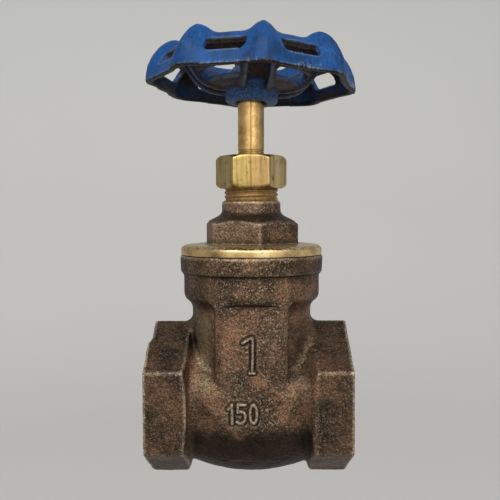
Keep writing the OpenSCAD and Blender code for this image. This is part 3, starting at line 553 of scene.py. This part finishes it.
# The tube and its worn thread, 20 turns an inch, with rounded crests
tube_bore_r = 5.65 * mm
shoulder_r = 8.05 * mm
shoulder_foot = tube_foot - 0.6 * mm
nut_thread_r = 7.4 * mm
tube_r = nut_thread_r - 0.12 * mm
thread_top = bonnet_high[2]
tube = turned("bonnet_tube", [
    (tube_bore_r, shoulder_foot), (shoulder_r, shoulder_foot), (shoulder_r, tube_foot + 0.05 * mm),
    (shoulder_r - 0.15 * mm, tube_foot + 0.2 * mm), (tube_r, tube_foot + 0.55 * mm),
    (tube_r, thread_top), (tube_bore_r, thread_top)], steps=96)
# The turned bronze with old dirt caked in its thread: dull and brown, with paler crests.
worn_thread, tree, shader, place = new_material("worn_thread", 0.9, 0.5)
caked = add(tree, "TexNoise", {"Vector": place, "Scale": 0.9, "Detail": 4.0, "Roughness": 0.7})
caked_shade = add(tree, "ValToRGB", {"Fac": caked}, ramp=[
    (0.34, "6d5136"), (0.5, "957449"), (0.64, "b0905f")])
crest_mask = add(tree, "ValToRGB", {"Fac": add(tree, "NewGeometry").outputs["Pointiness"]}, ramp=[
    (0.52, 0.0), (0.62, 0.6)])
crested = add(tree, "Mix", {0: crest_mask, 6: caked_shade, 7: colour("c3a26c")}, data_type="RGBA")
caked_bump = add(tree, "Bump", {"Height": caked, "Strength": 0.6, "Distance": 0.15 * mm})
feed(tree, shader, {"Base Color": crested, "Normal": caked_bump})
tube.data.materials.append(worn_thread)
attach(tube, "valve_body")
nut_pitch = 1.27 * mm
half = nut_pitch * 0.48
root = nut_thread_r - 0.25 * mm
flank = nut_thread_r + 0.16 * mm
flank_half = 0.28 * mm
tube_thread = wound_ridge("bonnet_tube_thread", [
    (root, -half), (flank, -flank_half), (nut_thread_r + 0.26 * mm, 0.0), (flank, flank_half), (root, half)],
    turns=(thread_top - tube_foot - 1.4 * mm) / nut_pitch, pitch=nut_pitch, steps=64)
for v in tube_thread.data.vertices:
    v.co = (axis_x + v.co.x, v.co.y, tube_foot + 0.75 * mm + v.co.z)
tube_thread.data.materials.append(worn_thread)
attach(tube_thread, "valve_body")
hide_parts("bonnet")

# ---- Packing and gland ----
# Graphite rope packed round the stem inside the bonnet, under the brass gland that the packing nut presses
# down. Both keep the shape that the frame gives them. The rope is nearly black, with a dull sheen.
graphite, tree, shader, place = new_material("pressed_graphite", 0.0, 0.55)
fibres = add(tree, "TexNoise", {"Vector": place, "Scale": 1.5, "Detail": 3.0})
fibre_shade = add(tree, "ValToRGB", {"Fac": fibres}, ramp=[(0.35, "17181a"), (0.65, "34363a")])
fibre_bump = add(tree, "Bump", {"Height": fibres, "Strength": 0.5, "Distance": 0.1 * mm})
feed(tree, shader, {"Base Color": fibre_shade, "Normal": fibre_bump})
for node, finish in (("packing", graphite), ("gland", turned_bronze)):
    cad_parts[node].data.materials.clear()
    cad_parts[node].data.materials.append(finish)

# ---- Packing nut ----
# Milled from drawn brass hexagon bar, so faint lines run up its flats; chamfered in the lathe at both ends.
# The CAD solid is copied and given a finer, smoother skin than the castings', which rounds its edges.
nut_low, nut_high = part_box("packing_nut")
nut_brass, tree, shader, place = new_material("drawn_brass_bar", 1.0, 0.28)
stretch = add(tree, "Mapping", {"Vector": place, "Scale": (1.0, 1.0, 0.09)})
streaks = add(tree, "TexNoise", {"Vector": stretch, "Scale": 0.5, "Detail": 4.0, "Roughness": 0.6})
streaked = add(tree, "ValToRGB", {"Fac": streaks}, ramp=[
    (0.34, "94794a"), (0.44, "c8a862"), (0.54, "dfc078"), (0.66, "d3b06c")])
# one side of the bar is coppery and the far corners grey, with a dark drawing line where they meet; the ramp
# also carries painted reflections, which brighten some facets and lay a bright band near the right corner
nut_axes = add(tree, "SeparateXYZ", {0: place})
wavering = add(tree, "Math", {0: streaks, 1: 1.6, 2: nut_axes.outputs["X"]}, operation="MULTIPLY_ADD")
across_nut = add(tree, "MapRange", {"Value": wavering, "From Min": nut_low[0] / mm + 0.8,
                                    "From Max": nut_high[0] / mm + 0.8})
nut_tone_and_reflections = add(tree, "ValToRGB", {"Fac": across_nut}, ramp=[
    (0.02, "ae9a76"), (0.20, "ccb68a"), (0.25, "cfb370"), (0.32, "dcbf7a"), (0.47, "d6b670"),
    (0.49, "8c6a40"), (0.515, "c4a266"), (0.60, "be966a"), (0.64, "97714c"), (0.69, "b68c66"),
    (0.74, "b89c6c"), (0.86, "ecd4a2"), (0.97, "c6b084")])
nut_tone = add(tree, "Mix", {0: 0.6, 6: streaked, 7: nut_tone_and_reflections}, data_type="RGBA")
drawn = add(tree, "Mapping", {"Vector": place, "Scale": (1.0, 1.0, 0.04)})
lines = add(tree, "TexNoise", {"Vector": drawn, "Scale": 1.3, "Detail": 4.0, "Roughness": 0.7})
line_shade = add(tree, "ValToRGB", {"Fac": lines}, ramp=[(0.38, 0.5), (0.50, 1.0)])
nut_lined = add(tree, "Mix", {0: 0.8, 6: nut_tone, 7: line_shade}, data_type="RGBA", blend_type="MULTIPLY")
tarnish = add(tree, "TexNoise", {"Vector": place, "Scale": 0.35, "Detail": 5.0, "Roughness": 0.7})
tarnish_mask = add(tree, "ValToRGB", {"Fac": tarnish}, ramp=[(0.32, 0.7), (0.45, 0.0)])
tarnished = add(tree, "Mix", {0: tarnish_mask, 6: nut_lined, 7: colour("6b5432")}, data_type="RGBA")
# painted shade in the corners where the nut meets the bonnet and the stem
corner = add(tree, "AmbientOcclusion", {"Distance": 1.5 * mm}, samples=8)
corner_shade_mask = add(tree, "ValToRGB", {"Fac": corner.outputs["AO"]}, ramp=[(0.4, 0.8), (0.85, 0.0)])
corner_shaded = add(tree, "Mix", {0: corner_shade_mask, 6: tarnished, 7: colour("3b2c18")}, data_type="RGBA")
line_bump = add(tree, "Bump", {"Height": lines, "Strength": 0.25, "Distance": 0.05 * mm})
nicks = add(tree, "TexNoise", {"Vector": place, "Scale": 0.9, "Detail": 4.0})
nick_bump = add(tree, "Bump", {"Height": nicks, "Normal": line_bump, "Strength": 0.2, "Distance": 0.12 * mm})
nut_rough = add(tree, "MapRange", {"Value": tarnish, "From Min": 0.3, "From Max": 0.7, "To Min": 0.45,
                                   "To Max": 0.25})
feed(tree, shader, {"Base Color": corner_shaded, "Roughness": nut_rough, "Normal": nick_bump})

packing_nut = copy_of("packing_nut", "packing_nut_brass")
cast_skin(packing_nut, mesh_size=0.28 * mm, rounding=7, unevenness=0.03 * mm, lump=3.0 * mm)
packing_nut.data.materials.append(nut_brass)
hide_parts("packing_nut")
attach(packing_nut, "valve_body")

# ---- Stem ----
# Turned from brass rod and polished by the packing: bright, with a few handling marks, darker at its foot,
# with painted shade down its right side and a painted dark reflection down its middle. It keeps the shape
# that the frame gives it.
stem_brass, tree, shader, place = new_material("polished_brass_rod", 1.0, 0.26)
smear = add(tree, "TexNoise", {"Vector": place, "Scale": 0.28, "Detail": 4.0, "Roughness": 0.65})
smeared = add(tree, "ValToRGB", {"Fac": smear}, ramp=[(0.33, "b28f55"), (0.5, "d9b272"), (0.66, "e8c586")])
stem_axes = add(tree, "SeparateXYZ", {0: place})
foot = add(tree, "MapRange", {"Value": stem_axes.outputs["Z"], "From Min": nut_high[2] / mm + 2.2,
                              "From Max": nut_high[2] / mm + 0.6, "To Max": 0.45})
footed = add(tree, "Mix", {0: foot, 6: smeared, 7: colour("5d4527")}, data_type="RGBA")
# painted shade down the right side of the stem
right_shade = add(tree, "MapRange", {"Value": stem_axes.outputs["X"], "From Min": axis_x / mm + 2.2,
                              "From Max": axis_x / mm + 3.4, "To Max": 0.6})
right_shaded = add(tree, "Mix", {0: right_shade, 6: footed, 7: colour("6a5538")}, data_type="RGBA")
# a painted dark reflection: one long dark line down the middle of the stem
dark_line_off = add(tree, "Math", {0: stem_axes.outputs["X"], 1: axis_x / mm - 0.1}, operation="SUBTRACT")
dark_line_size = add(tree, "Math", {0: dark_line_off}, operation="ABSOLUTE")
dark_reflection_line = add(tree, "MapRange", {"Value": dark_line_size, "From Min": 0.3, "From Max": 0.08, "To Max": 0.75})
dark_line_break = add(tree, "Math", {0: dark_reflection_line, 1: smear}, operation="MULTIPLY")
dark_line_reflected = add(tree, "Mix", {0: dark_line_break, 6: right_shaded, 7: colour("5f4220")}, data_type="RGBA")
polish = add(tree, "TexWave", {"Vector": place, "Scale": 1.1, "Distortion": 1.5, "Detail": 2.0},
             wave_type="BANDS", bands_direction="Z")
polish_bump = add(tree, "Bump", {"Height": polish.outputs["Fac"], "Strength": 0.1, "Distance": 0.03 * mm})
marks = add(tree, "Bump", {"Height": smear, "Normal": polish_bump, "Strength": 0.2, "Distance": 0.15 * mm})
feed(tree, shader, {"Base Color": dark_line_reflected, "Normal": marks})
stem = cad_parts["stem"]
stem.data.materials.clear()
stem.data.materials.append(stem_brass)

# ---- Handwheel ----
# Eight-lobed iron casting with a hollow rim, a slot between each two lobes and four spokes under its web.
# Enamelled blue all over; the paint is chipped along the lower edge, and underneath it is brown with dirt and
# painted dark with shade.
handwheel = copy_of("handwheel", "handwheel_casting")
cast_skin(handwheel, mesh_size=0.42 * mm, rounding=5, unevenness=0.16 * mm, lump=4.0 * mm)
# where the hub gives way to the web and the web to the rim, in mm from the axis
hub_in, hub_out = 7.5, 9.5
rim_in, rim_out = 23.0, 25.0

enamel, tree, shader, place = new_material("blue_enamel_on_iron", 0.0, 0.38)
shader.inputs["Specular IOR Level"].default_value = 0.18
tone = add(tree, "TexNoise", {"Vector": place, "Scale": 0.16, "Detail": 3.0})
blue = add(tree, "ValToRGB", {"Fac": tone}, ramp=[(0.3, "0d3563"), (0.5, "0d4680"), (0.7, "0b4d93")])
# years of hands have drawn dark and pale streaks down it, about half a millimetre wide
runs = add(tree, "Mapping", {"Vector": place, "Scale": (1.0, 1.0, 0.2)})
film = add(tree, "TexNoise", {"Vector": runs, "Scale": 1.5, "Detail": 4.0, "Roughness": 0.7})
dark_run = add(tree, "ValToRGB", {"Fac": film}, ramp=[(0.36, 0.7), (0.49, 0.0)])
darkened = add(tree, "Mix", {0: dark_run, 6: blue, 7: colour("1c2c48")}, data_type="RGBA")
pale_run = add(tree, "ValToRGB", {"Fac": film}, ramp=[(0.57, 0.0), (0.72, 0.4)])
filmed = add(tree, "Mix", {0: pale_run, 6: darkened, 7: colour("5a7a9c")}, data_type="RGBA")
# painted shade and dirt: the paint is painted nearly black under the wheel and in its hollows, where shade
# falls, with brown patches of dirt
wheel_place = add(tree, "VectorMath", {0: place, 1: (axis_x / mm, 0, 0)}, operation="SUBTRACT")
wheel_axes = add(tree, "SeparateXYZ", {0: wheel_place})
wheel_flat = add(tree, "CombineXYZ", {"X": wheel_axes.outputs["X"], "Y": wheel_axes.outputs["Y"]})
reach = add(tree, "VectorMath", {0: wheel_flat}, operation="LENGTH")
wheel_side = add(tree, "TexCoord")
wheel_normal = add(tree, "SeparateXYZ", {0: wheel_side.outputs["Normal"]})
under = add(tree, "MapRange", {"Value": wheel_normal.outputs["Z"], "From Min": 0.05, "From Max": -0.55,
                               "To Max": 0.85})
wheel_hollow = add(tree, "AmbientOcclusion", {"Distance": 7 * mm}, samples=8, only_local=True)
hidden = add(tree, "MapRange", {"Value": wheel_hollow.outputs["AO"], "From Min": 0.78, "From Max": 0.4})
either = add(tree, "Math", {0: under, 1: hidden}, operation="MAXIMUM")
off_hub = add(tree, "MapRange", {"Value": reach, "From Min": hub_in, "From Max": hub_out, "To Min": 0.1})
shade_and_grime = add(tree, "Math", {0: either, 1: off_hub}, operation="MULTIPLY")
# the hub is scoured grey by spanners
scoured = add(tree, "MapRange", {"Value": reach, "From Min": hub_out, "From Max": hub_in})
scour = add(tree, "TexNoise", {"Vector": place, "Scale": 2.0, "Detail": 3.0, "Roughness": 0.7})
scour_lines = add(tree, "ValToRGB", {"Fac": scour}, ramp=[(0.42, 0.0), (0.66, 0.8)])
scour_mask = add(tree, "Math", {0: scoured, 1: scour_lines}, operation="MULTIPLY")
scratchy = add(tree, "Mix", {0: scour_mask, 6: filmed, 7: colour("667a92")}, data_type="RGBA")
shaded_under = add(tree, "Mix", {0: shade_and_grime, 6: scratchy, 7: colour("222327")}, data_type="RGBA")
mottle = add(tree, "TexNoise", {"Vector": place, "Scale": 0.35, "Detail": 5.0, "Roughness": 0.65})
mottled = add(tree, "ValToRGB", {"Fac": mottle}, ramp=[(0.36, 0.0), (0.50, 0.95)])
dirt_mask = add(tree, "Math", {0: shade_and_grime, 1: mottled}, operation="MULTIPLY")
crumbs = add(tree, "TexNoise", {"Vector": place, "Scale": 1.8, "Detail": 3.0, "Roughness": 0.7})
brown = add(tree, "ValToRGB", {"Fac": crumbs}, ramp=[(0.38, "1d1612"), (0.62, "564436")])
grimy = add(tree, "Mix", {0: dirt_mask, 6: shaded_under, 7: brown}, data_type="RGBA")
# edges: the enamel is worn thin there and shows a pale grey-blue line, which is partly a painted highlight on
# the rounded edge
edge_wear_and_sheen = add(tree, "AmbientOcclusion", {"Distance": 1.1 * mm}, samples=8, inside=True, only_local=True)
edge_line_mask = add(tree, "ValToRGB", {"Fac": edge_wear_and_sheen.outputs["AO"]}, ramp=[(0.6, 0.8), (0.86, 0.0)])
edge_line_part = add(tree, "Math", {0: edge_line_mask, 1: crumbs}, operation="MULTIPLY")
edge_worn_and_lit = add(tree, "Mix", {0: edge_line_part, 6: grimy, 7: colour("9aa5b0")}, data_type="RGBA")
# the foot of the rim, chipped to black iron with a ragged edge and with painted shade on its downward faces,
# and bright nicks just above it
rim_part = add(tree, "MapRange", {"Value": reach, "From Min": rim_in, "From Max": rim_out})
foot_part = add(tree, "MapRange", {"Value": wheel_normal.outputs["Z"], "From Min": -0.2, "From Max": -0.5})
chip_and_shade_part = add(tree, "Math", {0: rim_part, 1: foot_part}, operation="MULTIPLY")
chip_and_shade_mask = add(tree, "Math", {0: chip_and_shade_part, 1: 0.9}, operation="MULTIPLY")
chipped_and_shaded = add(tree, "Mix", {0: chip_and_shade_mask, 6: edge_worn_and_lit, 7: colour("15110f")}, data_type="RGBA")
rim_foot = min(v.co.z for v in handwheel.data.vertices if math.hypot(v.co.x - axis_x, v.co.y) > rim_out * mm)
foot_high = add(tree, "Math", {0: wheel_axes.outputs["Z"], 1: rim_foot / mm}, operation="SUBTRACT")
ragged_foot = add(tree, "Math", {0: crumbs, 1: -3.0, 2: foot_high}, operation="MULTIPLY_ADD")
foot_line = add(tree, "MapRange", {"Value": ragged_foot, "From Min": 0.0, "From Max": -0.5, "To Max": 0.9})
foot_mask = add(tree, "Math", {0: foot_line, 1: rim_part}, operation="MULTIPLY")
footed = add(tree, "Mix", {0: foot_mask, 6: chipped_and_shaded, 7: colour("141518")}, data_type="RGBA")
nick_range = add(tree, "MapRange", {"Value": foot_high, "From Min": 0.0, "From Max": 6.0})
nick_band = add(tree, "ValToRGB", {"Fac": nick_range}, ramp=[
    (0.12, 0.0), (0.22, 1.0), (0.4, 0.6), (0.7, 0.0)])
nick_spots = add(tree, "TexNoise", {"Vector": runs, "Scale": 1.7, "Detail": 5.0, "Roughness": 0.8})
nick_shape = add(tree, "ValToRGB", {"Fac": nick_spots}, ramp=[(0.54, 0.0), (0.61, 0.85)])
nick_part = add(tree, "Math", {0: nick_band, 1: nick_shape}, operation="MULTIPLY")
# only where the wheel has been knocked, and on its outer side
knocks = add(tree, "TexNoise", {"Vector": place, "Scale": 0.12, "Detail": 2.0})
knocked = add(tree, "ValToRGB", {"Fac": knocks}, ramp=[(0.48, 0.0), (0.58, 1.0)])
knock_part = add(tree, "Math", {0: nick_part, 1: knocked}, operation="MULTIPLY")
outward = add(tree, "VectorMath", {0: wheel_flat, 1: wheel_side.outputs["Normal"]}, operation="DOT_PRODUCT")
outer = add(tree, "MapRange", {"Value": outward, "From Min": 8.0, "From Max": 14.0})
nick_mask = add(tree, "Math", {0: knock_part, 1: outer}, operation="MULTIPLY")
nicked = add(tree, "Mix", {0: nick_mask, 6: footed, 7: colour("b9c0bd")}, data_type="RGBA")
dust = add(tree, "Bump", {"Height": film, "Strength": 0.4, "Distance": 0.1 * mm})
crumb_bump = add(tree, "Bump", {"Height": crumbs, "Normal": dust, "Strength": 0.3, "Distance": 0.1 * mm})
gloss = add(tree, "MapRange", {"Value": film, "From Min": 0.35, "From Max": 0.7, "To Min": 0.32,
                               "To Max": 0.6})
feed(tree, shader, {"Base Color": nicked, "Roughness": gloss, "Normal": crumb_bump})
handwheel.data.materials.append(enamel)
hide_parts("handwheel")
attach(handwheel, "spindle")

# ---- Washer and wheel nut ----
# A plain washer and a small hexagon nut, on the end of the stem over the hub. Both are zinc-plated steel, a
# cool, even grey with a faint yellow cast. The CAD solids are copied and their sharp edges rounded.
zinc, tree, shader, place = new_material("zinc_plated_steel", 1.0, 0.35)
plate = add(tree, "TexNoise", {"Vector": place, "Scale": 0.8, "Detail": 4.0})
plated = add(tree, "ValToRGB", {"Fac": plate}, ramp=[(0.3, "8d8f8e"), (0.6, "c3c5c4"), (0.8, "b9b08f")])
plate_bump = add(tree, "Bump", {"Height": plate, "Strength": 0.2, "Distance": 0.05 * mm})
feed(tree, shader, {"Base Color": plated, "Normal": plate_bump})


def eased(piece, width, segments):
    """Makes a merged copy's flats whole and rounds its sharp edges."""
    bpy.context.view_layer.objects.active = piece
    bpy.ops.object.mode_set(mode="EDIT")
    bpy.ops.mesh.select_all(action="SELECT")
    bpy.ops.mesh.dissolve_limited(angle_limit=math.radians(1))
    bpy.ops.object.mode_set(mode="OBJECT")
    finish_modifier(piece, "BEVEL", width=width, segments=segments, limit_method="ANGLE",
                    angle_limit=math.radians(24), use_clamp_overlap=True)
    bpy.ops.object.select_all(action="DESELECT")
    piece.select_set(True)
    bpy.ops.object.shade_smooth_by_angle(angle=math.radians(32))


for node in ("washer", "wheel_nut"):
    piece = copy_of(node, node + "_zinc")
    eased(piece, width=0.2 * mm, segments=2)
    piece.data.materials.append(zinc)
    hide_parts(node)
    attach(piece, "spindle")

# ---- Room and lights ----
# A pale grey sweep of matt paper far below and behind the valve: a flat floor that bends up all round into a
# wall. It is lit by a soft, bright room in front.
floor_z = -0.16
floor_r = 0.5
bend = 0.7
bend_steps = 16
wall_high = 4.0
bpy.ops.object.select_all(action="DESELECT")
bpy.ops.mesh.primitive_circle_add(vertices=128, radius=floor_r, fill_type="NGON",
                                  location=(axis_x, 0, floor_z))
sweep = bpy.context.object
sweep.name = sweep.data.name = "paper_sweep"
bpy.ops.object.mode_set(mode="EDIT")
bpy.ops.mesh.select_all(action="DESELECT")
grid = bmesh.from_edit_mesh(sweep.data)
for edge in grid.edges:
    edge.select_set(edge.is_boundary)
bmesh.update_edit_mesh(sweep.data)
edge_r, edge_high = floor_r, 0.0
for step in range(1, bend_steps + 1):
    angle = math.radians(90 * step / bend_steps)
    wide = floor_r + bend * math.sin(angle)
    high = bend * (1 - math.cos(angle))
    bpy.ops.mesh.extrude_region_move(TRANSFORM_OT_translate={"value": (0, 0, high - edge_high)})
    bpy.ops.transform.resize(value=(wide / edge_r, wide / edge_r, 1), center_override=(axis_x, 0, 0))
    edge_r, edge_high = wide, high
bpy.ops.mesh.extrude_region_move(TRANSFORM_OT_translate={"value": (0, 0, wall_high)})
bpy.ops.object.mode_set(mode="OBJECT")
sweep.data.transform(sweep.matrix_world)
sweep.matrix_world.identity()
bpy.ops.object.shade_smooth_by_angle(angle=math.radians(60))
paper, tree, shader, place = new_material("grey_background_paper", 0.0, 0.95)
cloudy = add(tree, "TexNoise", {"Vector": place, "Scale": 0.004, "Detail": 2.0})
paper_axes = add(tree, "SeparateXYZ", {0: place})
paper_high = add(tree, "MapRange", {"Value": paper_axes.outputs["Z"], "From Min": -170.0, "From Max": 470.0})
clouded = add(tree, "Math", {0: cloudy, 1: 0.3, 2: paper_high}, operation="MULTIPLY_ADD")
sheet = add(tree, "ValToRGB", {"Fac": clouded}, ramp=[(0.1, "d2d0ce"), (0.5, "cbcac8"), (1.0, "cfcfcd")])
feed(tree, shader, {"Base Color": sheet})
sweep.data.materials.append(paper)
sweep.visible_diffuse = sweep.visible_glossy = sweep.visible_shadow = False

room = bpy.data.worlds.new("soft_room")
bpy.context.scene.world = room
room.use_nodes = True
tree = room.node_tree
ways = add(tree, "SeparateXYZ", {0: add(tree, "TexCoord").outputs["Generated"]})
front_level = add(tree, "MapRange", {"Value": ways.outputs["Z"], "From Min": -0.75, "From Max": 0.1,
                                     "To Min": 0.2}, interpolation_type="SMOOTHSTEP")
# bright to either side of the camera, dimmer towards the walls, and darkest where someone stands at it
sideways = add(tree, "Math", {0: ways.outputs["X"]}, operation="ABSOLUTE")
spread = add(tree, "ValToRGB", {"Fac": sideways}, ramp=[(0.09, 0.4), (0.18, 1.0), (0.5, 0.95), (0.85, 0.42)])
in_front = add(tree, "Math", {0: front_level, 1: spread}, operation="MULTIPLY")
strong = add(tree, "Math", {0: in_front, 1: 1.3}, operation="MULTIPLY")
back_level = add(tree, "MapRange", {"Value": ways.outputs["Z"], "From Min": -0.9, "From Max": 0.9,
                                    "To Min": 0.45, "To Max": 0.34})
back_share = add(tree, "MapRange", {"Value": ways.outputs["Y"], "From Min": -0.4, "From Max": 0.2},
                 interpolation_type="SMOOTHSTEP")
all_round = add(tree, "Mix", {0: back_share, 2: strong, 3: back_level})
side_level = add(tree, "MapRange", {"Value": ways.outputs["X"], "From Min": -0.9, "From Max": 0.9,
                                    "To Min": 0.8, "To Max": 1.06})
level = add(tree, "Math", {0: all_round, 1: side_level}, operation="MULTIPLY")
grey = add(tree, "VectorMath", {0: (1.0, 0.995, 0.98), "Scale": level}, operation="SCALE")
feed(tree, tree.nodes["Background"], {"Color": grey, "Strength": 1.0})

lit_middle = Vector((axis_x, 0, 0.045))
for name, spot, size, power in (
        ("window", (0.1, -0.7, 0.6), 0.8, 3.5),
        ("ceiling", (-0.3, -0.5, 0.7), 0.4, 1.5)):
    bpy.ops.object.light_add(type="AREA", location=spot)
    lamp = bpy.context.object
    lamp.name = lamp.data.name = name
    lamp.data.size = size
    lamp.data.energy = power
    lamp.rotation_euler = (lit_middle - Vector(spot)).to_track_quat("-Z", "Y").to_euler()

bpy.context.scene.view_settings.view_transform = "Standard"
